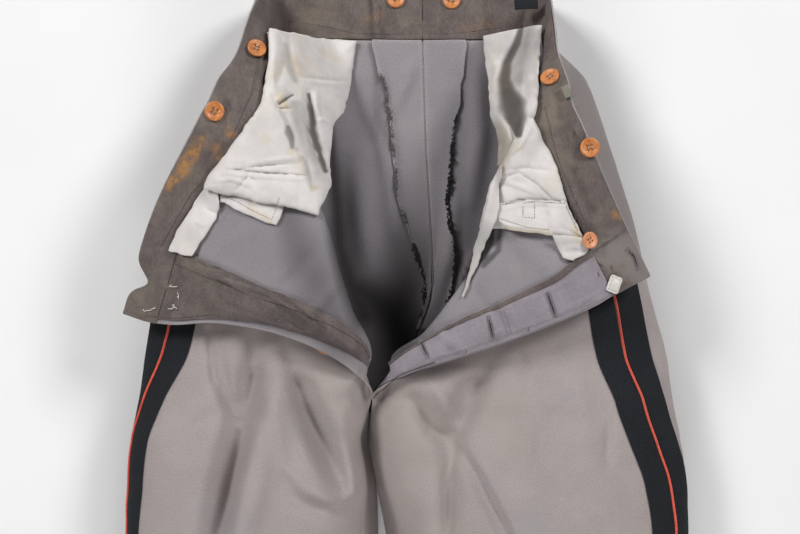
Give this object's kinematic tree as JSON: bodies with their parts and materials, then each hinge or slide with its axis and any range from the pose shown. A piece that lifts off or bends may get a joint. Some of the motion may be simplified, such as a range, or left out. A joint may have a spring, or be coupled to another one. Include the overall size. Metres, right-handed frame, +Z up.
{
  "type": "military trousers",
  "caption": "Grey wool military dress trousers with black side bands and red piping, lying on their back unbuttoned with both fronts turned out",
  "frame": {"origin": "Centre of the bounding box in plan, on the surface that the trousers lie on", "axes": "+Y runs from the hems to the waist, +X to the wearer's left side as seen from above the fronts, +Z up from the surface"},
  "size_m": [0.5346, 1.121, 0.1283],
  "materials": {
    "grey_wool": "matt milled wool, a warm grey with fine flecks",
    "black_band": "matt black wool facing cloth",
    "red_piping": "matt red wool",
    "twill_facing": "fine diagonal twill, slight sheen",
    "white_cotton": "soft off-white cotton with creases and yellowing",
    "corozo": "polished orange-brown nut button",
    "hook_metal": "worn pale metal",
    "black_label": "blank black woven tape"
  },
  "bodies": {
    "root": {"back_left": "grey_wool", "back_right": "grey_wool", "band_back_left": "black_band", "band_back_right": "black_band", "band_front_left": "black_band", "band_front_right": "black_band", "belt_loop": "grey_wool", "brace_button_1": "corozo", "brace_button_2": "corozo", "brace_button_3": "corozo", "brace_button_4": "corozo", "brace_button_5": "corozo", "brace_button_6": "corozo", "fly_button_1": "corozo", "fly_button_2": "corozo", "fly_button_3": "corozo", "fly_facing": "twill_facing", "fly_hook": "hook_metal", "fly_underlap_facing": "twill_facing", "fob_bag_left": "white_cotton", "fob_bag_right": "white_cotton", "front_left": "grey_wool", "front_right": "grey_wool", "label": "black_label", "piping_left": "red_piping", "piping_right": "red_piping", "pocket_bag_left": "white_cotton", "pocket_bag_lower_right": "white_cotton", "pocket_bag_right": "white_cotton", "pocket_stay_left": "white_cotton", "pocket_stay_right": "white_cotton", "pocket_strip_right": "white_cotton", "seat_inlay_left": "grey_wool", "seat_inlay_right": "grey_wool", "small_button": "corozo", "waist_facing_left": "twill_facing", "waist_facing_right": "twill_facing", "waistband_left": "grey_wool", "waistband_right": "grey_wool"}
  },
  "joints": []
}
